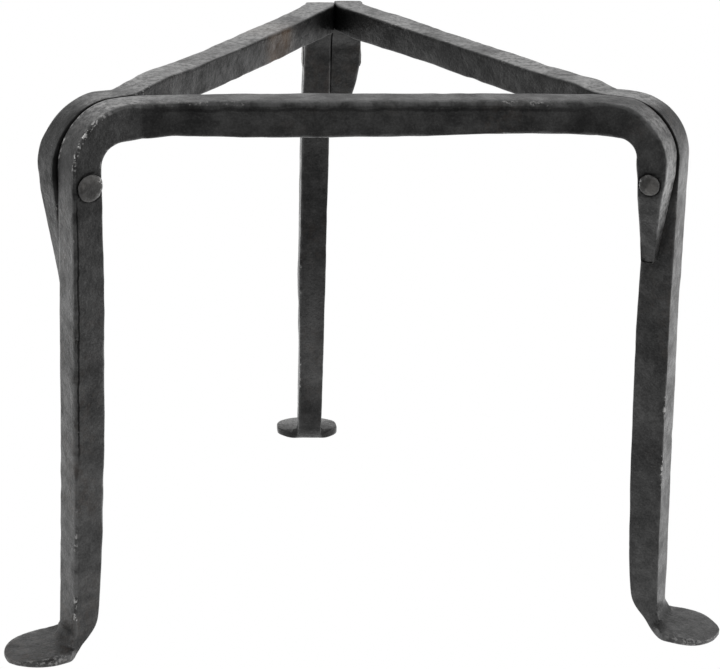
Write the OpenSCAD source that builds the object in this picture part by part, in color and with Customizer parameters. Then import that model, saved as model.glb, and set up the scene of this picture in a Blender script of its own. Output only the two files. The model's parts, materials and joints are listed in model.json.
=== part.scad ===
// Hand-forged fire trivet, the three-legged stand that holds a pot over the coals.
// Three square bars make it. Each bar is one rail, one leg and one short tail:
// the leg of one bar and the tail of the next lie back to back at each corner,
// and one rivet goes through both.

/* [Bar stock] */
// Side of the square bar
bar = 12.5; // [10:0.5:14]

/* [Frame] */
// Height of the rail tops above the floor
rail_top = 217; // [180:1:260]
// Distance from the middle of the triangle to where two bars part at a corner
seam_radius = 102; // [90:1:106]
// Distance from the middle of the triangle to the outer face of the legs at the rivets
leg_radius = 134; // [132:1:145]
// Radius of the sideways bend between a rail and its two ends, on its hollow side
plan_bend = 4; // [2:0.5:6]

/* [Legs] */
// Inner radius of the front bar's bend from rail to leg
leg_bend_front = 11; // [6:0.5:12]
// Inner radius of the right bar's bend from rail to leg
leg_bend_right = 11; // [6:0.5:12]
// Inner radius of the left bar's bend from rail to leg
leg_bend_left = 12; // [6:0.5:12]
// How far the front bar's leg leans outward by the time it reaches the foot
lean_front = 3.5; // [0.5:0.5:8]
// How far the right bar's leg leans outward by the time it reaches the foot
lean_right = 3; // [0.5:0.5:8]
// How far the left bar's leg leans outward by the time it reaches the foot
lean_left = 4.5; // [0.5:0.5:8]

/* [Feet] */
// Diameter of the flattened foot
foot_d = 30; // [26:1:34]
// Thickness of the foot where the leg runs into it
foot_t = 3.5; // [2:0.5:4]
// Thickness of the foot at its rim
foot_rim = 1.5; // [1:0.5:2]
// Distance from the leg's outer face out to the middle of the foot
foot_reach = 10.5; // [9:0.5:12]
// Radius of the heel, on the underside of the bend into the foot
heel_r = 15; // [9:0.5:16]
// Radius of the ankle, on the upper side of the bend into the foot
ankle_r = 5; // [3:0.5:6]

/* [Tails] */
// Inner radius of the front bar's bend from rail to tail
tail_bend_front = 7; // [5:0.5:12]
// Inner radius of the right bar's bend from rail to tail
tail_bend_right = 11; // [5:0.5:12]
// Inner radius of the left bar's bend from rail to tail
tail_bend_left = 12; // [5:0.5:12]
// How far the left bar's tail stands out past the leg beside it
tail_out_left = 1.5; // [0:0.5:2]
// Length of the front and right bars' tails below the middle of the rivet
tail_drop = 31; // [24:1:44]
// Length of the left bar's tail below the middle of the rivet
tail_drop_left = 42; // [24:1:44]
// Width of a tail's blunt tip, along the seam
tip_w = 4.5; // [3:0.5:7]
// How far the inner edge of a tail is drawn outward at the tip
tip_in = 2; // [0:0.5:3]
// Thickness of a tail's blunt tip, across the seam
tip_t = 2.5; // [1.5:0.5:5]

/* [Rivets] */
// Distance from the rail tops down to the middle of the rivets
rivet_drop = 29; // [28:1:60]
// Diameter of a rivet's shank and of the hole it fills
shank_d = 6; // [5:0.5:7]
// Diameter of the head on the side of the leg
leg_head_d = 9; // [8:0.5:10]
// Diameter of the head on the side of the tail
tail_head_d = 10; // [8:0.5:10]
// How far a head stands out of the bar
head_h = 1.2; // [0.8:0.1:1.6]

/* [Hidden] */
$fn = 96;

// Corner directions, seen from above: front left, front right and back.
LEFT = 210;
RIGHT = 330;
BACK = 90;

// Distances from the middle of the triangle to the two upright faces of a rail.
rail_in = seam_radius / 2;
rail_out = rail_in + bar;
// Half the length of a rail, up to just inside its two sideways bends.
rail_half = (seam_radius - bar / 2) * cos(30);
// Length of plan taken by the sideways bend, measured along each straight part.
bend_run = (plan_bend + bar) * tan(15);
// Distance out to the axis of the rivets, in the middle of the legs and the tails.
rivet_r = leg_radius - bar / 2;
// Height of the rivets above the floor.
rivet_z = rail_top - rivet_drop;
// Below the rivet's head the tail begins to thin.
thin_z = rivet_z - tail_head_d / 2 - 0.5;
// The end of the plan outline, past the outermost face of any bend.
plan_end = leg_radius + ankle_r + 10;

// Middles of the three feet: each is as far to the side of its seam as its leg is.
foot_out = leg_radius + foot_reach;
left_foot = [
    -(foot_out + lean_front) * cos(30) + bar / 2 * sin(30),
    -(foot_out + lean_front) * sin(30) - bar / 2 * cos(30),
];
right_foot = [
    (foot_out + lean_right) * cos(30) + bar / 2 * sin(30),
    -(foot_out + lean_right) * sin(30) + bar / 2 * cos(30),
];
back_foot = [-bar / 2, foot_out + lean_left];
// The feet are the outermost parts all round, so the middle of their outline is the origin.
mid_x = (left_foot[0] + right_foot[0]) / 2;
mid_y = (left_foot[1] + back_foot[1]) / 2;

// One side of a bar in plan, round the bend at its end: angles from a0 to a1.
function arc(cx, cy, r, a0, a1) = [for (i = [0:5]) [cx + r * cos(a0 + (a1 - a0) * i / 5),
                                                    cy + r * sin(a0 + (a1 - a0) * i / 5)]];
function spun(points, a) = [for (p = points) [p[0] * cos(a) - p[1] * sin(a),
                                              p[0] * sin(a) + p[1] * cos(a)]];
function flipped(points) = [for (i = [len(points) - 1:-1:0]) [-points[i][0], points[i][1]]];

// The seam side and the outer side of the bar's left end, in the bar's own plan.
function seam_side() = spun(concat([[plan_end, 0]],
    arc(seam_radius + bend_run, bar + plan_bend, bar + plan_bend, 270, 240)), LEFT);
function outer_side() = spun(concat(
    arc(seam_radius + bend_run, bar + plan_bend, plan_bend, 240, 270), [[plan_end, bar]]), LEFT);

// The whole bar from above: both ends turn 30 degrees to lie along the corners.
module bar_plan() {
    polygon(concat(seam_side(), flipped(seam_side()), flipped(outer_side()), outer_side()));
}

// Turns a side view, x outward and y up, into a slab wider than the bar along a corner.
module slab(angle) {
    rotate([0, 0, angle])
        translate([0, 2 * bar, 0])
            rotate([90, 0, 0])
                linear_extrude(4 * bar)
                    children();
}

// Side view of the rail's end and the bend down from it; face is the outer face's distance.
module hook(face, bend) {
    turn = bend + bar;
    translate([seam_radius - 2 * bar, rail_top - bar])
        square([face - turn - seam_radius + 2 * bar, bar]);
    translate([face - turn, rail_top - turn])
        intersection() {
            difference() {
                circle(turn);
                circle(bend);
            }
            square(turn);
        }
}

// Side view of a leg: the hook, the long lean down, and the ankle into the foot.
module leg_side(bend, lean) {
    knee = rail_top - bar - bend;
    low = leg_radius + lean;
    hook(leg_radius, bend);
    polygon([
        [leg_radius - bar, knee],
        [leg_radius, knee],
        [low, heel_r],
        [low, 0],
        [low - bar, 0],
        [low - bar, heel_r],
    ]);
    difference() {
        translate([low - bar / 2, 0])
            square([bar / 2 + ankle_r, foot_t + ankle_r]);
        translate([low + ankle_r, foot_t + ankle_r])
            circle(ankle_r);
    }
}

// Side view of a tail: the hook, and the outer edge drawn in to the tip.
module tail_side(bend, out, drop) {
    face = leg_radius + out;
    tip_r = face - bar + tip_in;
    hook(face, bend);
    polygon([
        [face - bar, rail_top - bar - bend],
        [face, rail_top - bar - bend],
        [face, rivet_z],
        [tip_r + tip_w, rivet_z - drop],
        [tip_r, rivet_z - drop],
        [face - bar, rivet_z],
    ]);
}

// The outer face of a tail slopes in to the tip: this is the wedge that goes.
module tail_thinning(angle, drop) {
    tip_z = rivet_z - drop;
    rotate([0, 0, angle])
        translate([leg_radius - 2 * bar, 0, 0])
            rotate([90, 0, 90])
                linear_extrude(4 * bar)
                    polygon([
                        [-bar, thin_z],
                        [-tip_t, tip_z],
                        [-tip_t, tip_z - bar],
                        [-2 * bar, tip_z - bar],
                        [-2 * bar, thin_z],
                    ]);
}

// The flattened round foot, thinner at its rim.
module foot(angle, lean) {
    rotate([0, 0, angle])
        translate([leg_radius + lean + foot_reach, bar / 2, 0])
            rotate_extrude()
                polygon([
                    [0, 0],
                    [foot_d / 2, 0],
                    [foot_d / 2, foot_rim],
                    [foot_d / 4, foot_t],
                    [0, foot_t],
                ]);
}

// The rounded underside of the heel: everything outside the bend goes.
module heel_cut(angle, lean) {
    slab(angle)
        difference() {
            translate([leg_radius + lean - 2 * bar, -1])
                square([bar + heel_r, heel_r + 1]);
            translate([leg_radius + lean - bar + heel_r, heel_r])
                circle(heel_r);
        }
}

// The hole that the rivet fills, across the seam.
module rivet_hole(angle) {
    rotate([0, 0, angle])
        translate([rivet_r, 0, rivet_z])
            rotate([90, 0, 0])
                cylinder(h = 4 * bar, d = shank_d, center = true);
}

// A bar whose leg is at its left end and whose tail is at its right end.
module forged_bar(leg_bend, lean, tail_bend, tail_out, drop) {
    difference() {
        union() {
            intersection() {
                linear_extrude(rail_top)
                    bar_plan();
                union() {
                    translate([-rail_half, -rail_out - bar, rail_top - bar])
                        cube([2 * rail_half, 3 * bar, bar]);
                    slab(LEFT)
                        leg_side(leg_bend, lean);
                    slab(RIGHT)
                        tail_side(tail_bend, tail_out, drop);
                }
            }
            foot(LEFT, lean);
        }
        heel_cut(LEFT, lean);
        tail_thinning(RIGHT, drop);
        rivet_hole(LEFT);
        rivet_hole(RIGHT);
    }
}

// Half of a rivet's side view: the shank from the seam out, and the low domed head.
module rivet_half(head_d) {
    dome = (head_d * head_d / 4 + head_h * head_h) / (2 * head_h);
    square([shank_d / 2, bar + head_h / 2]);
    translate([0, bar])
        intersection() {
            translate([0, head_h - dome])
                circle(dome);
            square([head_d / 2, head_h]);
        }
}

// A rivet across the seam at one corner.
module rivet(angle) {
    rotate([0, 0, angle])
        translate([rivet_r, 0, rivet_z])
            rotate([-90, 0, 0])
                rotate_extrude() {
                    rivet_half(leg_head_d);
                    mirror([0, 1])
                        rivet_half(tail_head_d);
                }
}

// Moves the middle of the feet's outline to the origin.
module placed(turn) {
    translate([-mid_x, -mid_y, 0])
        rotate([0, 0, turn])
            children();
}

module front_bar() {
    color("#3d3e3f")
        placed(0)
            forged_bar(leg_bend_front, lean_front, tail_bend_front, 0, tail_drop);
}

module right_bar() {
    color("#3a3a3b")
        placed(120)
            forged_bar(leg_bend_right, lean_right, tail_bend_right, 0, tail_drop);
}

module left_bar() {
    color("#3b3938")
        placed(240)
            forged_bar(leg_bend_left, lean_left, tail_bend_left, tail_out_left, tail_drop_left);
}

module rivet_left() {
    color("#4a4a4a")
        placed(0)
            rivet(LEFT);
}

module rivet_right() {
    color("#464646")
        placed(0)
            rivet(RIGHT);
}

module rivet_back() {
    color("#464646")
        placed(0)
            rivet(BACK);
}

front_bar();
right_bar();
left_bar();
rivet_left();
rivet_right();
rivet_back();
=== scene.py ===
import json
import math
import random
from types import SimpleNamespace

import bpy
import numpy as np
from mathutils import Matrix, Vector, noise


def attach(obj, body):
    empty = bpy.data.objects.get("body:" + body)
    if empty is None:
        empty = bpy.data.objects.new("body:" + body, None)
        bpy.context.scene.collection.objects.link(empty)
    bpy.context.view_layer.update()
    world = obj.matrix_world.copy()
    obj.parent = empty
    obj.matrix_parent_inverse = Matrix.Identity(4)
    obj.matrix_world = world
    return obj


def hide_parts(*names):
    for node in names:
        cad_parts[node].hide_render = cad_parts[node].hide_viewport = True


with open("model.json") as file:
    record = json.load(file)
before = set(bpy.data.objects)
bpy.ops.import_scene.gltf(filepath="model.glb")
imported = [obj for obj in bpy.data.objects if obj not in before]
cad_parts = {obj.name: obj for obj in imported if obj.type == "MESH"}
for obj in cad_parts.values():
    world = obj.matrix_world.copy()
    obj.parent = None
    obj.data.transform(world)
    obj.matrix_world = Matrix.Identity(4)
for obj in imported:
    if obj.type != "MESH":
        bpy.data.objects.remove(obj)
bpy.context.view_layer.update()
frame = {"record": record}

# The pieces are built in millimetres about the middle of the rail triangle, then scaled to metres and
# moved into the frame. Each bar is built where the front bar lies, with its leg at the left corner and
# its tail at the right one, and is then turned to its own side.
MM = 0.001
mounts = {m["name"]: Vector(m["pos_m"]) / MM for m in frame["record"]["mounts"]}
rests = [mounts["rest_front"], mounts["rest_right"], mounts["rest_left"]]

# -------- sizes, in millimetres

# The rails' inner faces lie RAIL_IN from the middle, and meet SEAM_R out at the corners, where the seams
# begin. LEG_R is how far out a leg's outer face lies. PLAN_BEND is a bend's inner radius from above.
BAR = 12.5
RAIL_TOP = rests[0].z
MIDDLE = (rests[0] + rests[1] + rests[2]) / 3 - Vector((0, 0, RAIL_TOP))
RAIL_IN = (rests[0] - MIDDLE).xy.length - BAR / 2
SEAM_R = 2 * RAIL_IN
LEG_R = 134
PLAN_BEND = 3
RIVET_Z = 188
RIVET_R = LEG_R - BAR / 2

# The length of a mesh face along a bar, a worn edge's usual radius and a seam groove's depth.
STEP = 1.05
EDGE_R = 1.15
SEAM_DEPTH = 4

# How many spans a section has across its low and its high face.
LOW_SPANS = 14
HIGH_SPANS = 10

# Corner directions, seen from above.
LEFT = math.radians(210)
RIGHT = math.radians(330)
BACK = math.radians(90)

# The ankle's fillet, the heel's bevel, the pad's thickness in its middle, at its rim and beside the
# ankle, its radius at the edge, and how far past the bar's side it is fully flat.
ANKLE_R = 4.6
HEEL_BEVEL = 10.2
HEEL_SHARPNESS = 10
PAD_T = 3.6
PAD_RIM_T = 1.8
PAD_WEB_T = 3.4
PAD_EDGE_R = 0.75
WING_FADE = 5
RIM_STEPS = 22
ANKLE_STEPS = 22

# How a leg bows and thins towards its foot, and the heights between which it is slimmer or thicker.
LEG_BOW_POWER = 2.2
NECK_TAPER = 2.8
NECK_HEIGHT = 24
THICK_LENGTH = 70
SLIM_NEAR_TO = 150
SLIM_FOOT_Z = (30, 90)
SLIM_TOP_Z = (140, 190)

# The hammered surface: waves of height, length and seed, and the marks' number, radii and depths.
BAR_WAVES = ((0.2, 34, 0), (0.13, 11, 10), (0.05, 4, 20))
RIVET_WAVES = ((0.16, 2.6, 0), (0.08, 1.1, 3))
DENTS = 150
DENT_R = (3, 8.5)
DENT_DEPTH = (0.05, 0.22)

# The painted shadow line in the front bar, under its overhanging high edge on the leg and the rail: how far
# it lies from the outer edge, and half its width.
LEG_SHADOW_LINE = (1.45, 0.45)
RAIL_SHADOW_LINE = (3.5, 0.75)

# How far past a rivet head its painted shadow ring lies, how wide it is, and how far from the seam it
# starts;
# how far along a rail the heat reaches; how much more painted shade its dark end gets, and how far that
# reaches.
SHADOW_RING_GAP = 0.25
SHADOW_RING_W = 0.7
SHADOW_RING_FROM = 11.3
HEAT_SPREAD = 13
DARK_END_SHADE = 0.27
DARK_END_REACH = 16

# Each bar was forged by eye, so they differ. An entry has, with lengths in millimetres:
# turn, seed: how far the bar is turned, in degrees, and its noise's seed
# leg_bend, leg_ease, leg_out: the inner radius of the bend down from the rail, how much the hammer took
#   off its outside, and how far the outer face lies past LEG_R; the same for the tail
# bow, leg_thick, leg_taper: how much further out the foot is, and how much thicker the leg's top and
#   thinner its foot; slim_near, slim_foot, slim_top: how much narrower it is across the corner
# pad_far, pad_near, pad_middle, pad_end: the pad's two halves (see pad_reach), and its rounded end
# tail_drop: how far the tip is below the rivet; tail_thin, tail_in: how far the inner face is hammered
#   in at the rivet and at the tip; tail_spread: how much wider the tail is; thin_from, thin_curve: how
#   far above the rivet it starts to thin, and how late it does; tip_w, tip_t: the tip's sizes
# leg_sag, tail_sag, sag_middle, sag_from, sag_to: how far the rail's underside hangs at its ends, and
#   between two shares of its length; humps: place, reach and height of humps in its top
# rise, lip, chamfer: how far its top is raised, how far the outer high edge overhangs, and that edge's
#   extra radius; rubbed: how pale the top is, worn by pots and with painted sheen; heated: where it
#   ran hot; creased: how plain the painted shadow line under the high edge is
# inner_soot, dark_end: how much painted shade the rail's inner face gets, and the end where it gets more
# seam_leg, seam_tail, head_leg, head_tail: the groove's width and the rivet head's radius at each end
# knocks, polished, smoked: corner, distance out, height, reach and amount of knocked bright edges, of
# painted highlights and of painted shade
USUAL = dict(
    leg_ease=0, slim_near=0, slim_foot=0, slim_top=0, pad_middle=148,
    tail_out=0, tail_spread=0, thin_from=-6, thin_curve=1, tip_t=3.4,
    leg_sag=0, sag_from=0.14, sag_to=0.5, humps=(), rise=0, lip=0, chamfer=0.3,
    heated=None, creased=0, knocks=(), inner_soot=0.72, dark_end=None,
)


def bar(**own):
    """A bar's entry: what most bars share, and what is its own."""
    return SimpleNamespace(**(USUAL | own))


BARS = {
    "front_bar": bar(
        turn=0, seed=1,
        leg_bend=11, leg_out=0.8, bow=3.1, leg_thick=0.7, leg_taper=0.7,
        pad_far=(12.4, 4, 14, 1.6), pad_near=(14, -3, 7, 2.3), pad_end=15.2,
        tail_bend=7.2, tail_ease=1.3, tail_drop=33, tail_thin=1.1, tail_in=2.2, tip_w=4.9,
        leg_sag=1.4, tail_sag=0.5, sag_middle=1, sag_from=0, rise=0.6, lip=0.28,
        chamfer=1.2, rubbed=0.06, creased=1,
        seam_leg=1.1, seam_tail=0.5, head_leg=5.2, head_tail=4,
        knocks=((LEFT, 129, 206, 12, 1), (LEFT, 153, 2, 11, 0.35), (LEFT, 137, 18, 6, 0.8)),
        polished=((LEFT, 110, 217, 17, 1), (RIGHT, 128, 208, 12, 0.6), (RIGHT, 134, 184, 18, 0.75)),
        smoked=((LEFT, 134, 196, 22, 0.4), (LEFT, 108, 203, 16, 0.35), (RIGHT, 108, 203, 16, 0.35)),
        inner_soot=0,
    ),
    "right_bar": bar(
        turn=120, seed=2,
        leg_bend=11, leg_ease=-0.4, leg_out=1, bow=3.2, leg_thick=1.05, leg_taper=0.4,
        pad_far=(10.5, -3, 8, 1.7), pad_near=(16.1, 2, 15, 2.7), pad_middle=148.5, pad_end=14,
        tail_bend=12.5, tail_ease=2.4, tail_drop=31, tail_thin=0.3, tail_in=2, tail_spread=0.9,
        thin_from=2, thin_curve=1.85, tip_w=4.6,
        tail_sag=-0.6, sag_middle=-0.8, sag_to=0.72, humps=((0.07, 0.07, 0.8),),
        rubbed=0.65,
        seam_leg=0.5, seam_tail=0.7, head_leg=4.4, head_tail=4.6,
        knocks=((LEFT, 156, 2, 10, 0.3), (LEFT, 135, 70, 8, 0.8), (LEFT, 135, 96, 5, 0.8)),
        polished=((LEFT, 150, 4, 16, 0.1),),
        smoked=((LEFT, 122, 40, 60, 0.25), (RIGHT, 106, 196, 18, 0.6), (RIGHT, 128, 185, 24, 0.42)),
        dark_end=RIGHT,
    ),
    "left_bar": bar(
        turn=240, seed=3,
        leg_bend=14, leg_ease=3.8, leg_out=-1, bow=4.5, leg_thick=0, leg_taper=1.3,
        slim_near=0.9, slim_foot=0.8, slim_top=0.6,
        pad_far=(14.2, 3, 15, 1.9), pad_near=(14.1, 3, 15, 2), pad_end=12.2,
        tail_bend=12, tail_ease=0.3, tail_out=2.4, tail_drop=45, tail_thin=0, tail_in=1,
        tip_w=6, tip_t=4.5,
        tail_sag=0, sag_middle=0.3, humps=((0.84, 0.11, 1.1), (0.64, 0.07, 0.45)), rise=-0.7,
        rubbed=0.68, heated=-34.5,
        seam_leg=0.7, seam_tail=1.1, head_leg=4.8, head_tail=4.9,
        polished=((LEFT, 148, 4, 16, 0.4),),
        smoked=(
            (RIGHT, 134, 185, 30, 0.68), (LEFT, 122, 105, 95, 0.58), (LEFT, 106, 196, 18, 0.6),
            (LEFT, 131, 3, 12, 0.97), (LEFT, 126, 18, 20, 0.7),
        ),
        dark_end=LEFT,
    ),
}

# The rivets: corner, whose leg and whose tail it joins, its heads' heights, the turn in degrees at
# which its rim is knocked bright and given a painted highlight, and the seed of its noise.
RIVETS = (
    ("rivet_left", LEFT, "front_bar", "left_bar", (1.3, 1.3), 185, 11),
    ("rivet_right", RIGHT, "right_bar", "front_bar", (1.3, 1.2), 150, 12),
    ("rivet_back", BACK, "left_bar", "right_bar", (0.6, 0.5), 0, 13),
)
SHANK_R = 3
HEAD_RINGS = 14
HEAD_SIDES = 64


# -------- helpers

def lerp(a, b, t):
    return a + (b - a) * t


def smooth(x, low, high):
    """0 below low, 1 above high, and a smooth rise between them."""
    t = min(1, max(0, (x - low) / (high - low)))
    return t * t * (3 - 2 * t)


def steps_for(length):
    return max(2, round(length / STEP))


def axes(corner):
    """The level ways out towards a corner, and across it to the left."""
    out = Vector((math.cos(corner), math.sin(corner), 0))
    return out, Vector((-out.y, out.x, 0))


def new_object(name, data):
    """A new object in the scene."""
    made = bpy.data.objects.new(name, data)
    bpy.context.scene.collection.objects.link(made)
    return made


class Station:
    """One section of a bar. low and high are the two sides of the bar at its seam face, side points
    away from the seam, and near and far are how far the section reaches along side. wing has, for its
    near and its far half, 1 where the part outside the bar's width is a flat pad, as thick as web. lip
    is how far the high edge on the far side overhangs."""

    def __init__(self, low, high, side=None, near=0, far=BAR, wing=(0, 0), web=PAD_WEB_T, lip=0):
        self.low = Vector(low)
        self.high = Vector(high)
        self.side = Vector(side) if side else Vector((0, 1, 0))
        self.near = near
        self.far = far
        self.wing = wing
        self.web = web
        self.lip = lip


# -------- the leg end of a bar

def leg_outer(z, spec, knee):
    """Distance out to a leg's outer face at height z: straight at the top, bowed out below."""
    return LEG_R + spec.leg_out + spec.bow * (1 - min(z, knee) / knee) ** LEG_BOW_POWER


def leg_thickness(z, spec, knee):
    """A leg's thickness across its outer and inner faces: it thins towards the foot."""
    extra = spec.leg_thick * (1 - smooth(z, knee - THICK_LENGTH, knee))
    taper = spec.leg_taper * (1 - min(z, knee) / knee)
    return BAR + extra - taper - NECK_TAPER * math.exp(-z / NECK_HEIGHT)


def leg_sides(z, spec):
    """How far a leg reaches along side, from near to far: one is forged slimmer than the others."""
    near = spec.slim_near * (1 - min(z, SLIM_NEAR_TO) / SLIM_NEAR_TO)
    far = BAR - spec.slim_foot * (1 - smooth(z, *SLIM_FOOT_Z)) - spec.slim_top * smooth(z, *SLIM_TOP_Z)
    return near, far


def rounded_least(*distances):
    """The least of some distances, with the corners between them rounded."""
    return sum(d ** -HEEL_SHARPNESS for d in distances) ** (-1 / HEEL_SHARPNESS)


def pad_reach(r, spec, shape, heel):
    """How far the pad reaches to one side of the bar's middle at distance r out: a fan from the heel,
    then a rounded end. shape has the widest reach, how far past the heel the fan begins and ends, and
    how square the rounded end is."""
    widest, fan_from, fan_to, squareness = shape
    past = (r - spec.pad_middle) / spec.pad_end
    if past >= 0:
        return widest * max(0, 1 - past ** squareness) ** (1 / squareness)
    return lerp(BAR / 2, widest, smooth(r, heel + fan_from, heel + fan_to))


def pad_reaches(r, spec, heel):
    """The pad's reach at distance r out, to the near and to the far side."""
    return pad_reach(r, spec, spec.pad_near, heel), pad_reach(r, spec, spec.pad_far, heel)


def pad_station(r, spec, heel, thickness, web):
    """A section across the pad at distance r out."""
    near, far = pad_reaches(r, spec, heel)
    return Station(
        (r, 0, 0), (r, 0, thickness), near=BAR / 2 - near, far=BAR / 2 + far, wing=(1, 1), web=web,
    )


def rim_stations(spec, heel):
    """From the pad's tip in to where its rounded end begins."""
    stations = []
    for i in range(1, RIM_STEPS + 1):
        r = spec.pad_middle + spec.pad_end * math.cos(math.radians(90) * i / RIM_STEPS)
        thickness = lerp(PAD_RIM_T, PAD_T, smooth(i / RIM_STEPS, 0.1, 1.2))
        stations.append(pad_station(r, spec, heel, thickness, thickness))
    return stations


def neck_stations(spec, heel, pivot_r, rim_web):
    """From there to the ankle. rim_web is the pad's thickness where the neck begins."""
    stations = []
    count = steps_for(spec.pad_middle - pivot_r)
    for i in range(1, count):
        r = lerp(spec.pad_middle, pivot_r, i / count)
        web = lerp(rim_web, PAD_WEB_T, (i / count) ** 2)
        stations.append(pad_station(r, spec, heel, lerp(rim_web, PAD_T, i / count), web))
    return stations


def ankle_stations(spec, knee, heel, pivot_r, pivot_z):
    """Round the ankle's fillet and the heel, from the pad to the bottom of the leg."""
    pivot = Vector((pivot_r, 0, pivot_z))
    inward = ANKLE_R + leg_thickness(pivot_z, spec, knee)
    leg_near, leg_far = leg_sides(0, spec)
    stations = []
    for i in range(ANKLE_STEPS + 1):
        turn = math.radians(90) * (1 - i / ANKLE_STEPS)
        toward = Vector((-math.cos(turn), 0, -math.sin(turn)))
        low = pivot + toward * rounded_least(
            inward / max(math.cos(turn), 1e-3),
            HEEL_BEVEL / math.cos(turn - math.radians(45)),
            pivot_z / max(math.sin(turn), 1e-3),
        )
        near, far = pad_reaches(low.x, spec, heel)
        wing = (smooth(near - BAR / 2, 0, WING_FADE), smooth(far - BAR / 2, 0, WING_FADE))
        share = smooth(i / ANKLE_STEPS, 0.3, 1)
        stations.append(Station(
            low, pivot + toward * ANKLE_R, near=BAR / 2 - near + leg_near * share,
            far=BAR / 2 + far + (leg_far - BAR) * share, wing=wing,
        ))
    return stations


def foot_stations(spec, knee):
    """From the pad's tip to the bottom of the leg, and where the ankle's fillet has its middle."""
    pivot_z = PAD_T + ANKLE_R
    pivot_r = leg_outer(pivot_z, spec, knee) + ANKLE_R
    heel = pivot_r - BAR
    rim = rim_stations(spec, heel)
    neck = neck_stations(spec, heel, pivot_r, rim[-1].web)
    return rim + neck + ankle_stations(spec, knee, heel, pivot_r, pivot_z), pivot_r, pivot_z


def leg_stations(spec, knee, pivot_r, pivot_z):
    """Up the leg from the ankle to the knee, where the bend into the rail begins."""
    stations = []
    count = steps_for(knee - pivot_z)
    for i in range(1, count):
        z = lerp(pivot_z, knee, i / count)
        outer = leg_outer(z, spec, knee)
        inner = pivot_r - rounded_least(
            pivot_r - outer + leg_thickness(z, spec, knee),
            HEEL_BEVEL / math.cos(math.radians(45)) + z - pivot_z,
        )
        near, far = leg_sides(z, spec)
        stations.append(Station((inner, 0, z), (outer, 0, z), near=near, far=far))
    return stations


# -------- the tail end of a bar

def tail_stations(spec):
    """From the tail's blunt tip up to the bend into the rail."""
    face = LEG_R + spec.tail_out
    knee = RAIL_TOP - BAR - spec.tail_bend
    tip_z = RIVET_Z - spec.tail_drop
    taper_z = RIVET_Z + 2
    thin_z = RIVET_Z + spec.thin_from
    spread = BAR + spec.tail_spread
    inner_start = face - BAR + spec.tail_thin
    inner_tip = face - BAR + spec.tail_in
    count = steps_for(knee - tip_z)
    stations = []
    for i in range(count):
        z = lerp(tip_z, knee, i / count)
        drawn = max(0, (taper_z - z) / (taper_z - tip_z))
        inner = lerp(lerp(inner_start, face - BAR, smooth(z, RIVET_Z, knee)), inner_tip, drawn)
        outer = lerp(face, inner_tip + spec.tip_w, drawn)
        edge_wear_and_highlight = max(0, (thin_z - z) / (thin_z - tip_z)) ** spec.thin_curve
        stations.append(Station((inner, 0, z), (outer, 0, z), far=lerp(spread, spec.tip_t, edge_wear_and_highlight)))
    return stations


# -------- both ends, and the rail

def bend_stations(middle, bend, ease, sag, far_before):
    """Round the bend from upright to level. ease is how much the hammer took off its outside, and sag
    is how far the underside hangs after it."""
    stations = []
    count = steps_for((bend + BAR) * math.pi / 2)
    for i in range(count + 1):
        turn = math.radians(90) * i / count
        out = Vector((math.cos(turn), 0, math.sin(turn)))
        outside = bend + BAR - ease * math.sin(2 * turn) ** 1.3
        far = lerp(far_before, BAR, smooth(i / count, 0, 1))
        hang = Vector((0, 0, sag * smooth(i / count, 0.35, 1)))
        stations.append(Station(middle + out * bend - hang, middle + out * outside, far=far))
    return stations


def corner_stations(bend_end, start, sag):
    """In along the corner, from the end of the bend to where the sideways bend starts."""
    stations = []
    count = steps_for(bend_end - start) if bend_end - start > STEP else 1
    for i in range(1, count + 1):
        r = lerp(bend_end, start, i / count)
        stations.append(Station((r, 0, RAIL_TOP - BAR - sag), (r, 0, RAIL_TOP)))
    return stations


def sideways_stations(start, sag):
    """Round the sideways bend into the rail."""
    stations = []
    turning = PLAN_BEND + BAR
    count = 2 * steps_for(turning * math.radians(30))
    for i in range(1, count + 1):
        turn = math.radians(30) * i / count
        side = Vector((math.sin(turn), math.cos(turn), 0))
        low = Vector((start, turning, RAIL_TOP - BAR)) - side * turning
        hang = Vector((0, 0, sag))
        stations.append(Station(low - hang, low + Vector((0, 0, BAR)), side=side))
    return stations


def hook_stations(out, bend, ease, sag, far_before):
    """From the top of a leg or tail, whose outer face lies out past LEG_R, to the end of the rail.
    far_before is how far that upright part reaches along side."""
    middle = Vector((LEG_R + out - BAR - bend, 0, RAIL_TOP - BAR - bend))
    start = SEAM_R + (PLAN_BEND + BAR) * math.tan(math.radians(15))
    stations = bend_stations(middle, bend, ease, sag, far_before)
    return stations + corner_stations(middle.x, start, sag) + sideways_stations(start, sag)


def placed_at(station, corner, mirrored):
    """The station in plan, at the front bar's left corner or, mirrored, at its right one."""
    out, across = axes(corner)
    flip = -1 if mirrored else 1

    def mapped(v):
        p = out * v.x + across * v.y
        return Vector((flip * p.x, p.y, v.z))

    return Station(
        mapped(station.low), mapped(station.high), mapped(station.side),
        station.near, station.far, station.wing, station.web, station.lip,
    )


def rail_hang(t, spec):
    """How far a rail's underside hangs at the share t of its length."""
    middle_share = smooth(t, spec.sag_from, spec.sag_from + 0.25)
    middle_share *= 1 - smooth(t, spec.sag_to, spec.sag_to + 0.28)
    ends = spec.leg_sag * (1 - smooth(t, 0, 0.07)) + spec.tail_sag * smooth(t, 0.93, 1)
    return spec.sag_middle * middle_share + ends


def rail_rise(t, spec):
    """How far a rail's top is raised at the share t of its length: as a whole, and in humps."""
    rise = spec.rise * smooth(t, 0, 0.2) * (1 - smooth(t, 0.7, 1))
    humps = sum(height * math.exp(-((t - at) / reach) ** 2) for at, reach, height in spec.humps)
    return rise + humps * smooth(t, 0, 0.06) * (1 - smooth(t, 0.94, 1))


def rail_lip(t, spec):
    """How far a rail's ragged lip overhangs at the share t of its length."""
    ragged = max(0, 1 + 1.6 * noise.noise(Vector((11 * t, 55.5, spec.seed))))
    return spec.lip * ragged * smooth(t, 0, 0.1) * (1 - smooth(t, 0.85, 1))


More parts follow.
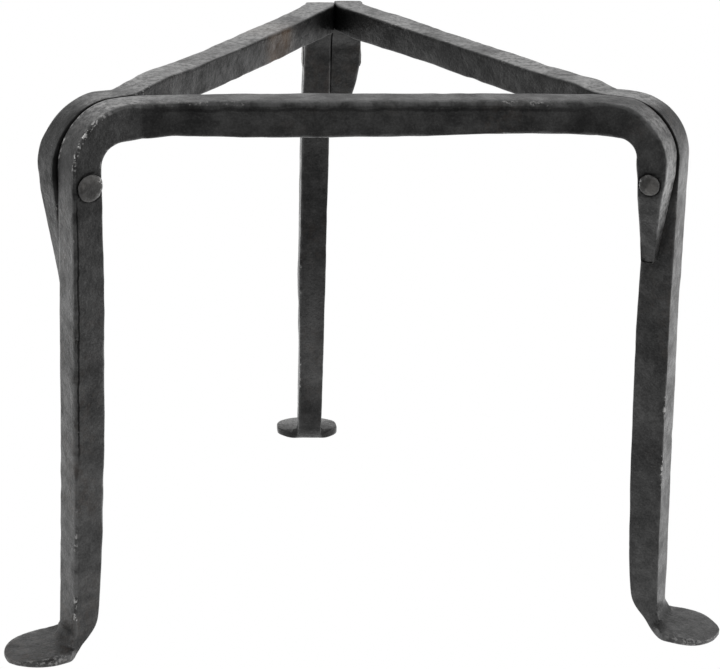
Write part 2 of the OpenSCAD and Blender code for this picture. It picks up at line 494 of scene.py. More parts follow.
def rail_stations(spec, leg_end, tail_end):
    """Along the rail, between the stations at its two ends."""
    stations = []
    count = steps_for((tail_end.low - leg_end.low).length)
    for i in range(1, count):
        t = i / count
        low = leg_end.low.lerp(tail_end.low, t)
        low.z = RAIL_TOP - BAR - rail_hang(t, spec)
        high = leg_end.high.lerp(tail_end.high, t) + Vector((0, 0, rail_rise(t, spec)))
        stations.append(Station(low, high, leg_end.side, lip=rail_lip(t, spec)))
    return stations


def bar_stations(spec):
    """Every section of a bar, from the tip of its foot to the tip of its tail."""
    knee = RAIL_TOP - BAR - spec.leg_bend
    foot, pivot_r, pivot_z = foot_stations(spec, knee)
    leg_end = foot + leg_stations(spec, knee, pivot_r, pivot_z)
    leg_end += hook_stations(spec.leg_out, spec.leg_bend, spec.leg_ease, spec.leg_sag, leg_end[-1].far)
    tail_end = tail_stations(spec)
    tail_end += hook_stations(spec.tail_out, spec.tail_bend, spec.tail_ease, spec.tail_sag, tail_end[-1].far)
    left = [placed_at(s, LEFT, False) for s in leg_end]
    right = [placed_at(s, LEFT, True) for s in reversed(tail_end)]
    return left + rail_stations(spec, left[-1], right[0]) + right


# -------- the rings of a bar's mesh

def eased_corner(before, corner, after, radius, radius_after, count, most=0.4):
    """Points round one corner of a section: the curve leaves one side at radius from the corner and
    meets the next side at radius_after, or at the share most of that side's length."""
    a = before - corner
    b = after - corner
    a = corner + a.normalized() * min(radius, 0.5 * a.length) if a.length > 1e-6 else corner.copy()
    b = corner + b.normalized() * min(radius_after, most * b.length) if b.length > 1e-6 else corner.copy()
    points = []
    for i in range(count):
        t = i / (count - 1)
        points.append(a * (1 - t) ** 2 + corner * (2 * t * (1 - t)) + b * t ** 2)
    return points


def side_corners(station, outer, wing, height, lip):
    """The corners of one side of a section: upright for the bar, a step onto the web for a pad."""
    middle = BAR / 2
    reach = abs(outer - middle)
    sign = 1 if outer > middle else -1
    inner = lerp(outer, middle + sign * min(middle, 0.7 * reach), wing)
    web = min(station.web, 0.97 * height)
    flat = wing * (1 - smooth(height - web, 0.2, 1.6))
    return [
        Vector((outer, 0)),
        Vector((outer, lerp(0.36 * height, web, wing))),
        Vector((inner - lip, lerp(0.72 * height, lerp(web, height, 0.2), wing))),
        Vector((lerp(inner, lerp(middle, inner, 0.6), flat), height)),
    ]


def section_side(station, outer, wing, height, edges, lip=0):
    """One side of a section, from its low edge to its high edge: x along side, y from low to high.
    edges has the radii of the two edges, and how far they open as a seam's groove."""
    low_r, high_r, deep = edges
    corners = side_corners(station, outer, wing, height, lip)
    under = Vector((BAR / 2, 0))
    over = Vector((BAR / 2, height))
    rim_r = lerp(0.12 * height, 0.8, wing)
    step_r = lerp(0.12 * height, 3, wing)
    points = eased_corner(under, corners[0], corners[1], low_r, lerp(low_r, SEAM_DEPTH, deep), 6)
    points += eased_corner(corners[0], corners[1], corners[2], rim_r, rim_r, 4)
    points += eased_corner(corners[1], corners[2], corners[3], step_r, step_r, 4)
    top = eased_corner(over, corners[3], corners[2], high_r, lerp(high_r, SEAM_DEPTH, deep), 6, 0.58)
    return points + top[::-1]


def section_ring(station, radii, groove):
    """The outline of a section in 3-D. radii has its edges' radii: near low, far low, far high and near
    high. groove is how far the near edges open as a seam's groove."""
    near_wing, far_wing = station.wing
    height = (station.high - station.low).length
    up = (station.high - station.low) / height
    far = section_side(station, station.far, far_wing, height, (radii[1], radii[2], 0), station.lip)
    near = section_side(station, station.near, near_wing, height, (radii[0], radii[3], groove))
    outline = []
    for i in range(1, LOW_SPANS):
        outline.append(near[0].lerp(far[0], i / LOW_SPANS))
    outline += far
    for i in range(1, HIGH_SPANS):
        outline.append(far[-1].lerp(near[-1], i / HIGH_SPANS))
    outline += reversed(near)
    return [station.low + station.side * p.x + up * p.y for p in outline]


def edge_radii(along, seed, chamfer, seam, seam_edge):
    """The radii of a bar's four edges, which wander as the hammer left them. seam is 1 where the near
    edges lie along a seam, which opens as a groove seam_edge wide."""
    radii = []
    for edge in range(4):
        slow = noise.noise(Vector((along / 26, 7.3 * edge, seed)))
        quick = noise.noise(Vector((along / 7, 3.1 * edge + 40, seed)))
        radii.append(EDGE_R * max(0.55, 1 + 0.75 * slow + 0.35 * quick))
    beaten = noise.noise(Vector((along / 22, 91.7, seed)))
    radii[2] += chamfer + 1.4 * smooth(beaten, 0.05, 0.5)
    for edge in (0, 3):
        radii[edge] = lerp(radii[edge], seam_edge, seam)
    return radii


def shrunk(ring, share, shift):
    """A ring drawn in towards its middle and moved on, to round a tip."""
    middle = sum(ring, Vector()) / len(ring)
    return [middle.lerp(p, share) + shift for p in ring]


def bar_rings(spec):
    """The rings of a bar's mesh, and how far along the bar each one lies."""
    stations = bar_stations(spec)
    rings = []
    places = []
    along = 0
    previous = stations[0]
    for i, station in enumerate(stations):
        middle = (station.low + station.high) / 2
        along += (middle - (previous.low + previous.high) / 2).length
        previous = station
        seam = smooth(station.low.xy.length, SEAM_R, SEAM_R + 6)
        seam_edge = spec.seam_leg if 2 * i < len(stations) else spec.seam_tail
        radii = edge_radii(along, spec.seed, spec.chamfer * (1 - 0.8 * seam), seam, seam_edge)
        near_wing, far_wing = station.wing
        wings = (near_wing, far_wing, far_wing, near_wing)
        radii = [lerp(r, PAD_EDGE_R, wing) for r, wing in zip(radii, wings)]
        rings.append(section_ring(station, radii, seam * smooth(station.low.z, 140, 160)))
        places.append(along)
    travel = (stations[-1].low - stations[-2].low).normalized()
    rings.append(shrunk(rings[-1], 0.9, travel * 0.5))
    rings.append(shrunk(rings[-1], 0.6, travel * 0.3))
    places += [places[-1] + 0.5, places[-1] + 0.8]
    rings.insert(0, shrunk(rings[0], 0.5, Vector()))
    places.insert(0, 0)
    return rings, places


def arc_lengths(ring):
    """How far each point of a ring is round it from the first, in metres."""
    lengths = [0]
    for a, b in zip(ring, ring[1:]):
        lengths.append(lengths[-1] + (b - a).length * MM)
    return lengths


def tube_mesh(name, rings):
    """A mesh of a tube through the rings, with both ends closed and its faces outward."""
    size = len(rings[0])
    points = [p for ring in rings for p in ring]
    faces = []
    for j in range(len(rings) - 1):
        for i in range(size):
            a = j * size + i
            b = j * size + (i + 1) % size
            faces.append((a, b, b + size, a + size))
    faces.append(tuple(range(size - 1, -1, -1)))
    last = (len(rings) - 1) * size
    faces.append(tuple(range(last, last + size)))
    volume = sum(points[f[0]].dot(points[f[1]].cross(points[f[2]])) for f in faces)
    volume += sum(points[f[0]].dot(points[f[2]].cross(points[f[3]])) for f in faces if len(f) == 4)
    if volume < 0:
        faces = [f[::-1] for f in faces]
    mesh = bpy.data.meshes.new(name)
    mesh.from_pydata([tuple(p) for p in points], [], faces)
    mesh.update()
    return mesh


# -------- hammer work on the mesh

def points_of(mesh):
    points = np.zeros(len(mesh.vertices) * 3)
    mesh.vertices.foreach_get("co", points)
    return points.reshape(-1, 3)


def normals_of(mesh):
    normals = np.zeros(len(mesh.vertices) * 3)
    mesh.vertices.foreach_get("normal", normals)
    return normals.reshape(-1, 3)


def move_points(mesh, points):
    mesh.vertices.foreach_set("co", points.ravel())
    mesh.update()


def outward(points, corner):
    """How far out towards a corner each point lies."""
    return points[:, 0] * math.cos(corner) + points[:, 1] * math.sin(corner)


def aside(points, corner):
    """How far each point lies to the left of a corner's seam, looking outward."""
    return points[:, 1] * math.cos(corner) - points[:, 0] * math.sin(corner)


def waves(points, table, seed):
    """How far smooth noise lifts each point: the table has each wave's height, length and seed."""
    lift = np.zeros(len(points))
    for height, length, extra_seed in table:
        offset = Vector((17, 5, 29)) * (seed + extra_seed)
        lift += height * np.array([noise.noise(Vector(p) / length + offset) for p in points])
    return lift


def dent_depth(points, seed):
    """How deep shallow round hammer marks lie at each point."""
    draw = random.Random(seed)
    depth = np.zeros(len(points))
    for _ in range(DENTS):
        middle = points[draw.randrange(len(points))]
        radius = draw.uniform(*DENT_R)
        deepest = draw.uniform(*DENT_DEPTH)
        distance = np.linalg.norm(points - middle, axis=1) / radius
        inside = distance < 1
        depth[inside] = np.maximum(depth[inside], deepest * (1 - distance[inside] ** 2) ** 2)
    return depth


def seam_share(points):
    """1 away from the seams and 0 on the two faces that bear on the next bar."""
    share = np.ones(len(points))
    for corner in (LEFT, RIGHT):
        off = np.clip((np.abs(aside(points, corner)) - 0.3) / 2.2, 0, 1)
        bearing = np.clip((outward(points, corner) - SEAM_R + 6) / 6, 0, 1)
        bearing = bearing * np.clip((points[:, 2] - 135) / 12, 0, 1)
        share = np.minimum(share, 1 - bearing * (1 - off))
    return share


def hammered(mesh, seed):
    """Moves the mesh's points as forging does: slow waves, small waves and hammer marks."""
    points = points_of(mesh)
    lift = (waves(points, BAR_WAVES, seed) - dent_depth(points, seed)) * seam_share(points)
    points = points + normals_of(mesh) * lift[:, None]
    points[:, 2] = np.maximum(points[:, 2], 0)
    move_points(mesh, points)


# -------- what the materials read

def store(mesh, **attributes):
    """Stores named values, or vectors for "along", for the materials to read at each point."""
    for name, values in attributes.items():
        kind, field = ("FLOAT_VECTOR", "vector") if name == "along" else ("FLOAT", "value")
        attribute = mesh.attributes.new(name, kind, "POINT")
        attribute.data.foreach_set(field, np.asarray(values, np.float32).ravel())


def sharpness(mesh):
    """How far each point stands out of its neighbours: near 0 on a face, and more on an edge."""
    points = points_of(mesh)
    normals = normals_of(mesh)
    edges = np.zeros(len(mesh.edges) * 2, int)
    mesh.edges.foreach_get("vertices", edges)
    a, b = edges.reshape(-1, 2).T
    step = points[b] - points[a]
    length = np.maximum(np.linalg.norm(step, axis=1), 1e-9)
    bend_a = -(step * normals[a]).sum(1) / length
    bend_b = (step * normals[b]).sum(1) / length
    total = np.bincount(a, bend_a, len(points)) + np.bincount(b, bend_b, len(points))
    count = np.bincount(a, minlength=len(points)) + np.bincount(b, minlength=len(points))
    return total / np.maximum(count, 1)


def nearness(points, place, power=2):
    """The place's amount at the place, and less away from it. A place is a corner, a distance out
    towards it, a height, a reach and an amount."""
    corner, r, z, reach, amount = place
    away = np.hypot(outward(points, corner) - r, points[:, 2] - z) / reach
    return amount * np.exp(-away ** power)


def wear_and_sheen_share(mesh, spec):
    """How pale each point is: worn and painted with sheen on the tops of the rails, where pots are dragged,
    and painted highlights on the faces that turn outward or up at the polished places."""
    points = points_of(mesh)
    normals = normals_of(mesh)
    # The tops: pale where pots rubbed the scale off, with painted sheen.
    top = np.clip((normals[:, 2] - 0.8) / 0.15, 0, 1) * np.clip((points[:, 2] - RAIL_TOP + 6) / 4, 0, 1)
    share = spec.rubbed * top
    # Painted highlights on the faces that turn outward or up.
    for place in spec.polished:
        facing = np.hypot(np.maximum(outward(normals, place[0]), 0), np.maximum(normals[:, 2], 0))
        share = np.maximum(share, nearness(points, place) * np.clip((facing - 0.75) / 0.2, 0, 1))
    return share


def knocked_share(mesh, spec):
    """How bright the edges have been knocked, place by place."""
    points = points_of(mesh)
    share = np.zeros(len(points))
    for place in spec.knocks:
        share = np.maximum(share, nearness(points, place, 4))
    return share


def shadow_line_place(mesh, spec):
    """Where each point lies across the painted shadow line under the overhanging high edge, from -1 to 1
    inside it, and how plain that line is there."""
    points = points_of(mesh)
    knee = RAIL_TOP - BAR - spec.leg_bend
    r = outward(points, LEFT)
    t = aside(points, LEFT)
    z = points[:, 2]
    outer = np.array([leg_outer(h, spec, knee) for h in z])
    leg = (outer - r - LEG_SHADOW_LINE[0]) / LEG_SHADOW_LINE[1]
    rail = (RAIL_TOP + spec.rise - z - RAIL_SHADOW_LINE[0]) / RAIL_SHADOW_LINE[1]
    outer_edge = (r > LEG_R - 2 * BAR) * (t > 9)
    on_leg = np.clip((z - 75) / 12, 0, 1) * np.clip((RIVET_Z - z) / 8, 0, 1) * outer_edge
    front = np.clip((-points[:, 1] - RAIL_IN - 9) / 2, 0, 1)
    on_rail = np.clip((86 - np.abs(points[:, 0])) / 10, 0, 1) * (z > RAIL_TOP - 9) * front
    across = np.where(z > RAIL_TOP - 2 * BAR, rail, leg)
    return across, spec.creased * np.maximum(0.8 * on_leg, 0.45 * on_rail)


def heat_share(mesh, place):
    """1 round the place along a rail where it was last heated, and 0 away from it."""
    points = points_of(mesh)
    if place is None:
        return np.zeros(len(points))
    return np.exp(-((points[:, 0] - place) / HEAT_SPREAD) ** 2) * (points[:, 2] > RAIL_TOP - 2 * BAR)


def corner_soot(points, corner, width, head):
    """Painted shade at a corner: in the seam's groove, as a shadow ring round the rivet's head, and in the
    ankle.
    """
    z = points[:, 2]
    r = outward(points, corner)
    t = np.abs(aside(points, corner))
    # Painted shade in the seam's narrow groove.
    beside = np.clip((r - SEAM_R + 4) / 4, 0, 1) * np.clip((z - RIVET_Z + 8) / 10, 0, 1)
    seam = beside * np.clip((width - t) / (0.55 * width), 0, 1)
    # A painted shadow ring round the rivet's head.
    away = np.abs(np.hypot(r - RIVET_R, z - RIVET_Z) - head - SHADOW_RING_GAP) / SHADOW_RING_W
    ring = np.clip(1.3 - away, 0, 1) * (t > SHADOW_RING_FROM)
    # Painted shade in the hollow of the ankle.
    within = np.clip((BAR / 2 - 1 - np.abs(t - BAR / 2)) / 3, 0, 1)
    ankle = np.clip(1 - np.hypot(r - LEG_R - 5, z - 8) / 10, 0, 1) * within
    return np.maximum.reduce([0.85 * seam, 0.9 * ring, 0.35 * ankle])


def inner_soot(mesh, spec):
    """Painted shade on the rail's inner faces, chosen by the way they face, with more of it at the dark end.
    """
    points = points_of(mesh)
    amount = spec.inner_soot
    if spec.dark_end is not None:
        from_end = SEAM_R - outward(points, spec.dark_end)
        amount = amount + DARK_END_SHADE * np.exp(-(from_end / DARK_END_REACH) ** 2)
    # Painted shade on the faces that turn inward.
    facing_in = np.clip((normals_of(mesh)[:, 1] - 0.6) / 0.3, 0, 1)
    return amount * facing_in * (points[:, 2] > RAIL_TOP - BAR - 2)


def soot_share(mesh, spec):
    """The painted shade at both corners, on the rail's inner face and at the shaded places."""
    points = points_of(mesh)
    soot = np.maximum(
        corner_soot(points, LEFT, spec.seam_leg, spec.head_leg),
        corner_soot(points, RIGHT, spec.seam_tail, spec.head_tail),
    )
    # Painted shade at the listed places.
    for place in spec.smoked:
        soot = np.maximum(soot, nearness(points, place))
    return np.maximum(soot, inner_soot(mesh, spec))


# -------- the pieces

def finished_object(name, mesh, material, turn=0):
    """Turns and scales a mesh into the frame and makes its object."""
    placing = Matrix.Translation(MIDDLE * MM) @ Matrix.Rotation(turn, 4, "Z") @ Matrix.Scale(MM, 4)
    mesh.transform(placing)
    mesh.polygons.foreach_set("use_smooth", [True] * len(mesh.polygons))
    mesh.materials.append(material)
    return new_object(name, mesh)


def forged_bar(name, spec, material):
    """One bar: leg, rail and tail in a single swept and hammered mesh."""
    rings, places = bar_rings(spec)
    mesh = tube_mesh(name, rings)
    around = [(places[j] * MM, a, spec.seed) for j, ring in enumerate(rings) for a in arc_lengths(ring)]
    hammered(mesh, spec.seed)
    across, creased = shadow_line_place(mesh, spec)
    store(mesh, along=around, edge=sharpness(mesh), across=across, creased=creased)
    store(mesh, rubbed=wear_and_sheen_share(mesh, spec), knocked=knocked_share(mesh, spec))
    store(mesh, soot=soot_share(mesh, spec), fired=heat_share(mesh, spec.heated))
    piece = finished_object(name + "_forged", mesh, material, math.radians(spec.turn))
    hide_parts(name)
    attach(piece, "root")
    return piece


def head_outline(radius, height):
    """Half of a head's side view, from its middle to its rim and back under: r and height."""
    points = []
    for i in range(HEAD_RINGS):
        turn = math.radians(100) * i / (HEAD_RINGS - 1)
        r = radius * math.sin(turn) ** 0.62 if i else 0
        points.append((r, height * (0.28 + 0.72 * math.cos(turn)) if turn < 1.6 else 0.18 * height))
    points.append((radius - 0.5, -0.05))
    points.append((SHANK_R, -0.1))
    return points


def rivet_profile(leg, tail, heights):
    """A rivet's side view, from its head on the leg to that on the tail: radius, and place across."""
    leg_face = BAR - leg.slim_top
    tail_face = -BAR - tail.tail_spread
    profile = [(r, leg_face + h) for r, h in head_outline(leg.head_leg, heights[0])]
    return profile + [(r, tail_face - h) for r, h in reversed(head_outline(tail.head_tail, heights[1]))]


def rivet(material, name, corner, leg, tail, heights, bright, seed):
    """A rivet across the seam between two bars: a shank and two heads that a hammer flattened."""
    out, across = axes(corner)
    middle = out * RIVET_R + Vector((0, 0, RIVET_Z))
    rings = []
    knocked = []
    for r, t in rivet_profile(BARS[leg], BARS[tail], heights):
        ring = []
        for i in range(HEAD_SIDES):
            turn = 2 * math.pi * i / HEAD_SIDES
            # The rim's bright side: partly knocked wear, partly a painted highlight.
            knocked.append(smooth(r, 2.8, 3.8) * smooth(math.cos(turn - math.radians(bright)), 0.5, 0.95))
            ragged = noise.noise(Vector((math.cos(turn) * 1.3, math.sin(turn) * 1.3, seed + t / 40)))
            reach = max(r, 0.02) * (1 + 0.09 * ragged * smooth(r, 2.5, 4.5))
            spoke = out * math.cos(turn) + Vector((0, 0, math.sin(turn)))
            ring.append(middle + across * t + spoke * reach)
        rings.append(ring)
    mesh = tube_mesh(name, rings)
    points = points_of(mesh)
    move_points(mesh, points + normals_of(mesh) * waves(points, RIVET_WAVES, seed)[:, None])
    nowhere = np.zeros(len(points))
    store(mesh, along=[(0, 0, seed)] * len(points), edge=sharpness(mesh), knocked=knocked)
    store(mesh, rubbed=nowhere, soot=nowhere, fired=nowhere, across=nowhere, creased=nowhere)
    piece = finished_object(name + "_peened", mesh, material)
    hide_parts(name)
    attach(piece, "root")
    return piece


# -------- materials

def new_node(tree, kind, inputs, **settings):
    """Adds a node with its settings, and links each input to another node or sets its constant."""
    node = tree.nodes.new("ShaderNode" + kind)
    for name, value in settings.items():
        setattr(node, name, value)
    for key, value in inputs.items():
        put(tree, node.inputs[key], value)
    return node


def put(tree, socket, value):
    if isinstance(value, bpy.types.NodeSocket):
        tree.links.new(value, socket)
    else:
        socket.default_value = value


def smooth_range(tree, value, low, high, a, b):
    """A smooth change from a, where the value is below low, to b, where it is above high."""
    inputs = {"Value": value, "From Min": low, "From Max": high, "To Min": a, "To Max": b}
    return new_node(tree, "MapRange", inputs, interpolation_type="SMOOTHSTEP").outputs["Result"]


class Nodes:
    """Short ways to add and join a material's nodes."""

    def __init__(self, name):
        self.material = bpy.data.materials.new(name)
        self.material.use_nodes = True
        self.tree = self.material.node_tree
        self.shader = self.tree.nodes["Principled BSDF"]
        self.place = self.add("TexCoord", {})["Object"]

    def add(self, kind, inputs, **settings):
        return new_node(self.tree, kind, inputs, **settings).outputs

    def attribute(self, name, output="Fac"):
        return self.add("Attribute", {}, attribute_name=name)[output]

    def vector(self, operation, a, b):
        return self.add("VectorMath", {0: a, 1: b}, operation=operation)[0]

    def noise(self, scale, detail, roughness, offset=None, place=None):
        """Noise over the object, or over another place. The offset tells it from the others."""
        place = place or self.place
        if offset:
            place = self.vector("ADD", place, offset)
        inputs = {"Vector": place, "Scale": scale, "Detail": detail, "Roughness": roughness}
        return self.add("TexNoise", inputs)["Fac"]

    def ramp(self, fac, low, high, a=0, b=1):
        return smooth_range(self.tree, fac, low, high, a, b)

    def math(self, operation, a, b=0):
        return self.add("Math", {0: a, 1: b}, operation=operation)[0]

    def mix(self, fac, a, b):
        return self.add("Mix", {0: fac, 6: a, 7: b}, data_type="RGBA")[2]

    def bump(self, height, strength, distance, below=None):
        inputs = {"Height": height, "Strength": strength, "Distance": distance}
        if below is not None:
            inputs["Normal"] = below
        return self.add("Bump", inputs)["Normal"]


def grey(value, warmth=0):
    """A grey as a colour, warmer above 0 and cooler below it."""
    return (value * (1 + warmth), value, value * (1 - warmth), 1)


def scaled(colour, share):
    """A colour made lighter or darker."""
    return tuple(min(1, c * share) for c in colour[:3]) + (1,)


THIN_BROWN = (0.06, 0.04, 0.028, 1)
FIRED_BROWN = (0.056, 0.031, 0.014, 1)
SPECK = grey(0.06, 0.02)
STREAK = grey(0.08)
# The greys of worn tops, also used for painted sheen and painted highlights.
WEAR_SHEEN_DARK = grey(0.09)
WEAR_SHEEN_PALE = grey(0.46, 0.01)
# Paler edges, from worn scale and a painted highlight.
EDGE_WEAR_HIGHLIGHT = grey(0.12)
# The near-black of the painted shade.
PAINTED_SHADE_BLACK = grey(0.004)
BRIGHT_STEEL = grey(0.5, 0.01)


def oxide(n, blotch, patch, dark, light):
    """Mottled oxide: broad blotches, smaller patches within them, and fine lighter specks."""
    colour = n.mix(n.ramp(blotch, 0.38, 0.64), dark, light)
    colour = n.mix(n.ramp(patch, 0.46, 0.7, 0, 0.6), colour, scaled(light, 1.7))
    colour = n.mix(n.ramp(patch, 0.3, 0.46, 0.5, 0), colour, scaled(dark, 0.5))
    speck = n.noise(900, 4, 0.7, (3, 1, 2))
    return n.mix(n.ramp(speck, 0.52, 0.74, 0, 0.6), colour, SPECK)


def browned(n, colour, brown_share):
    """Brown flecks, a brown stain where the steel ran hot, and how plain that stain is."""
    brown = n.noise(30, 4, 0.6, (7, 2, 5))
    fleck = n.ramp(n.noise(340, 3, 0.6, (2, 2, 7)), 0.42, 0.6)
    tint = n.math("MULTIPLY", n.ramp(brown, 0.5, 0.7, 0, brown_share), fleck)
    colour = n.mix(tint, colour, THIN_BROWN)
    fired = n.ramp(n.attribute("fired"), 0, 0.95)
    hot = n.math("MULTIPLY", fired, n.ramp(brown, 0.3, 0.55, 0.55, 1))
    return n.mix(hot, colour, FIRED_BROWN), hot


def streaked(n, colour):
    """Fine streaks drawn along the bar."""
    drawn = n.vector("MULTIPLY", n.attribute("along", "Vector"), (60, 900, 1))
    streak = n.noise(1, 4, 0.65, place=drawn)
    return n.mix(n.ramp(streak, 0.5, 0.75, 0, 0.12), colour, STREAK)


def worn_and_sheened(n, colour, pits):
    """Pale pitted grey: tops worn where pots rubbed the scale off, with painted sheen and painted
    highlights.
    """
    pale = n.mix(n.ramp(pits, 0.34, 0.64), WEAR_SHEEN_DARK, WEAR_SHEEN_PALE)
    uneven = n.ramp(n.noise(42, 4, 0.6, (1, 3, 9)), 0.36, 0.6, 0.3, 1)
    return n.mix(n.math("MULTIPLY", n.attribute("rubbed"), uneven), colour, pale)


def edge_wear_and_highlight(n, colour, edge, patch):
    """Paler edges: scale worn thin along them, with a painted highlight line."""
    thin = n.math("MULTIPLY", n.ramp(edge, 0.02, 0.08, 0, 0.4), n.ramp(patch, 0.34, 0.6))
    return n.mix(thin, colour, EDGE_WEAR_HIGHLIGHT)


def soot_amount(n):
    """How much painted shade the surface has, with the wobbling painted shadow line under the high edge."""
    # The painted shadow line under the overhanging high edge, made to wobble.
    wobble = n.ramp(n.noise(120, 4, 0.6, (2, 8, 2)), 0.2, 0.8, -1, 1)
    across = n.math("ADD", n.attribute("across"), wobble)
    line = n.ramp(n.math("ABSOLUTE", across), 0.5, 1.1, 1, 0)
    return n.math("MAXIMUM", n.attribute("soot"), n.math("MULTIPLY", line, n.attribute("creased")))


def sooted(n, colour, soot, hot):
    """The painted shade darkens the surface, except where the steel ran hot."""
    return n.mix(n.math("MULTIPLY", soot, n.ramp(hot, 0, 1, 1, 0)), colour, PAINTED_SHADE_BLACK)


def bright_amount(n, edge, wear_low):
    """Where the edges are bright: here and there, more where other things knocked them, and on a rivet's
    rim a painted highlight on one side.
    """
    rub = n.noise(620, 4, 0.65, (1, 9, 4))
    where = n.noise(34, 3, 0.5, (5, 5, 1))
    worn = n.math("MULTIPLY", n.ramp(edge, wear_low, wear_low + 0.08), n.ramp(rub, 0.54, 0.64))
    worn = n.math("MULTIPLY", worn, n.ramp(where, 0.54, 0.66, 0, 0.5))
    fresh = n.math("MULTIPLY", n.ramp(edge, wear_low / 2, wear_low * 2), n.ramp(rub, 0.5, 0.58))
    return n.math("MAXIMUM", worn, n.math("MULTIPLY", fresh, n.attribute("knocked")))


def roughness(n, bright):
    """Uneven roughness, less where the steel is bright."""
    rough = n.ramp(n.noise(95, 5, 0.68, (2, 6, 8)), 0.3, 0.7, 0.28, 0.52)
    return n.math("SUBTRACT", rough, n.math("MULTIPLY", bright, 0.12))


def relief(n, pits):
    """The scale's grain, its pits and its fine grit, as bump."""
    fine = n.noise(950, 5, 0.65, (4, 4, 4))
    grain = n.noise(230, 5, 0.62, (8, 3, 1))
    normal = n.bump(grain, 1, 0.00042)
    normal = n.bump(pits, 0.9, 0.00025, normal)
    return n.bump(fine, 0.9, 0.0001, normal)


def gloss(n, blotch, patch, soot):
    """The oxide's gloss, which follows its blotches and grit and is dull under the painted shade."""
    grit = n.noise(1300, 2, 0.6, (5, 1, 7))
    level = n.math("MULTIPLY", n.ramp(blotch, 0.36, 0.64, 0.43, 0.56), n.ramp(patch, 0.3, 0.7, 0.82, 1.18))
    level = n.math("MULTIPLY", level, n.ramp(grit, 0.3, 0.7, 0.78, 1.24))
    return n.math("MULTIPLY", level, n.ramp(soot, 0, 1, 1, 0.15))


def steel(name, dark, light, brown_share, wear_low):
    """Forge scale over steel: mottled dark oxide, brown tints, small pits and bright worn edges, under
    painted shade, a painted shadow line and painted highlights.
    wear_low is how sharp an edge has to be before it is worn bright."""
    n = Nodes(name)
    blotch = n.noise(38, 5, 0.62)
    patch = n.noise(150, 3, 0.6, (6, 4, 2))
    pits = n.noise(480, 4, 0.7, (9, 9, 3))
    edge = n.attribute("edge")
    soot = soot_amount(n)
    bright = bright_amount(n, edge, wear_low)
    colour, hot = browned(n, oxide(n, blotch, patch, dark, light), brown_share)
    colour = worn_and_sheened(n, streaked(n, colour), pits)
    colour = sooted(n, edge_wear_and_highlight(n, colour, edge, patch), soot, hot)
    surface = {
        "Base Color": n.mix(bright, colour, BRIGHT_STEEL),
        "Metallic": n.math("MULTIPLY", bright, 0.9),
        "Roughness": roughness(n, bright),
        "Normal": relief(n, pits),
        "Specular IOR Level": gloss(n, blotch, patch, soot),
        "IOR": 1.5,
    }
    for socket, value in surface.items():
        put(n.tree, n.shader.inputs[socket], value)
    return n.material


# -------- camera, light and floor

CAMERA_AZIMUTH = math.radians(-5.383)
CAMERA_ELEVATION = math.radians(19.629)
CAMERA_ROLL = math.radians(1.2375)
CAMERA_DISTANCE = 1.0417
CAMERA_LENS = 127.12
CAMERA_SHIFT = (0.01279, -0.02011)

# How bright the floor is in front and behind for the light that falls on the object, where the change
# begins and ends, and the way it goes: mostly towards the back, and a little to the right.
FLOOR_DARK = 0.17
FLOOR_BRIGHT = 1.6
FLOOR_DARK_Y = -0.54
FLOOR_BRIGHT_Y = 0.13
FLOOR_WAY = (0.2, 1, 0)
FLOOR_HALF = 6
FLOOR_BELOW = 0.0002

WHITE = (1, 1, 1, 1)
WORLD_SEEN = 1
WORLD_LIGHT = 0.6

# Each lamp's place, width and height, and power. All of them face LAMP_AIM.
LAMP_AIM = (0, 0, 0.12)
LAMPS = (
    ("back_softbox", (0.1, 1.9, 1.1), (2.6, 1.2), 4),
    ("top_softbox", (-0.1, 0.3, 1.7), (1.4, 1), 4),
    ("left_softbox", (-1.7, -0.15, 0.7), (1.2, 1.2), 5),
    ("right_softbox", (1.7, -0.25, 0.8), (1.2, 1.2), 9),
)


def make_camera():
    """Looks at the point halfway up the middle of the triangle."""
    target = Vector((MIDDLE.x * MM, MIDDLE.y * MM, RAIL_TOP * MM / 2))
    back = Vector((
        math.sin(CAMERA_AZIMUTH) * math.cos(CAMERA_ELEVATION),
        -math.cos(CAMERA_AZIMUTH) * math.cos(CAMERA_ELEVATION),
        math.sin(CAMERA_ELEVATION),
    ))
    data = bpy.data.cameras.new("camera")
    data.lens = CAMERA_LENS
    data.sensor_width = 36
    data.shift_x, data.shift_y = CAMERA_SHIFT
    data.clip_start = 0.05
    data.clip_end = 60
    camera = new_object("camera", data)
    level = back.to_track_quat("Z", "Y").to_matrix().to_4x4()
    roll = Matrix.Rotation(CAMERA_ROLL, 4, "Z")
    camera.matrix_world = Matrix.Translation(target + back * CAMERA_DISTANCE) @ level @ roll
    bpy.context.scene.camera = camera


def softbox(name, place, size, power):
    """A rectangular lamp at place that faces the object."""
    data = bpy.data.lights.new(name, "AREA")
    data.shape = "RECTANGLE"
    data.size, data.size_y = size
    data.energy = power
    lamp = new_object(name, data)
    lamp.location = place
    lamp.rotation_euler = (Vector(place) - Vector(LAMP_AIM)).to_track_quat("Z", "Y").to_euler()


def set_surface(tree, output, seen, lit):
    """Gives the background or floor a shader that the lens sees, and one that lights the object."""
    path = new_node(tree, "LightPath", {})
    inputs = {0: path.outputs["Is Camera Ray"], 1: lit.outputs[0], 2: seen.outputs[0]}
    mix = new_node(tree, "MixShader", inputs)
    put(tree, tree.nodes[output].inputs["Surface"], mix.outputs[0])


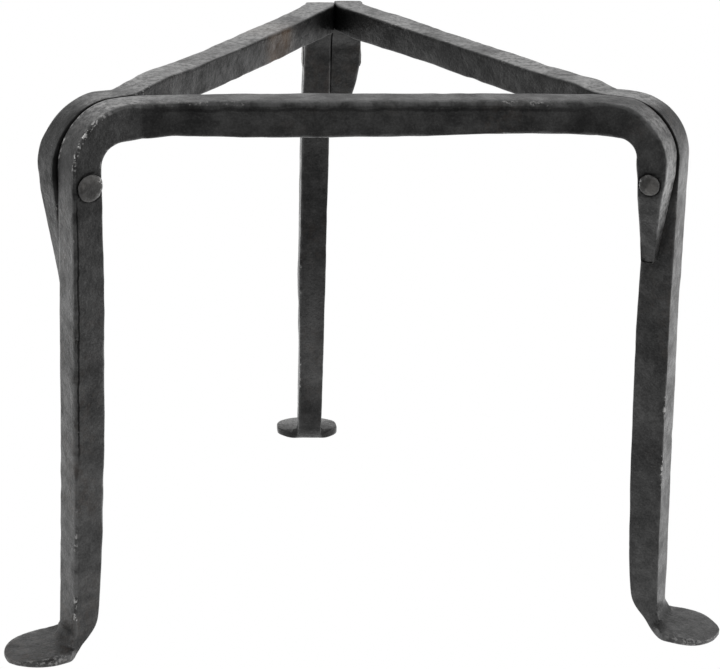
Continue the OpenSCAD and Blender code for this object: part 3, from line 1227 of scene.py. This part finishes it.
def make_world():
    """A white background, which lights the object less than the lens sees of it."""
    world = bpy.data.worlds.new("studio")
    world.use_nodes = True
    tree = world.node_tree
    tree.nodes.remove(tree.nodes["Background"])
    lit = new_node(tree, "Background", {"Color": WHITE, "Strength": WORLD_LIGHT})
    seen = new_node(tree, "Background", {"Color": WHITE, "Strength": WORLD_SEEN})
    set_surface(tree, "World Output", seen, lit)
    bpy.context.scene.world = world


def floor_glow(tree):
    """The floor's brightness for the light that falls on the object: it rises towards the back."""
    place = new_node(tree, "TexCoord", {}).outputs["Object"]
    backward = new_node(tree, "VectorMath", {0: place, 1: FLOOR_WAY}, operation="DOT_PRODUCT")
    value = backward.outputs["Value"]
    return smooth_range(tree, value, FLOOR_DARK_Y, FLOOR_BRIGHT_Y, FLOOR_DARK, FLOOR_BRIGHT)


def floor_paper():
    """The floor's material: plain white to the lens, and as bright as floor_glow to the object."""
    material = bpy.data.materials.new("floor_paper")
    material.use_nodes = True
    tree = material.node_tree
    tree.nodes.remove(tree.nodes["Principled BSDF"])
    lit = new_node(tree, "Emission", {"Strength": floor_glow(tree)})
    seen = new_node(tree, "Emission", {})
    set_surface(tree, "Material Output", seen, lit)
    return material


def make_floor():
    """A plain white floor, a hair below the feet."""
    corners = [(-1, -1), (1, -1), (1, 1), (-1, 1)]
    mesh = bpy.data.meshes.new("floor")
    mesh.from_pydata([(x * FLOOR_HALF, y * FLOOR_HALF, 0) for x, y in corners], [], [(0, 1, 2, 3)])
    mesh.materials.append(floor_paper())
    floor = new_object("floor", mesh)
    floor.location.z = -FLOOR_BELOW


# -------- the scene

bpy.context.scene.view_settings.view_transform = "Standard"
make_camera()
make_world()
for lamp in LAMPS:
    softbox(*lamp)
make_floor()

forged_steel = steel("forged_steel", grey(0.009, -0.01), grey(0.022, 0.01), 0.25, 0.03)
rivet_steel = steel("rivet_steel", grey(0.035, 0.04), grey(0.085, 0.05), 0.6, 0.008)

for bar_name, bar_spec in BARS.items():
    forged_bar(bar_name, bar_spec, forged_steel)
for entry in RIVETS:
    rivet(rivet_steel, *entry)
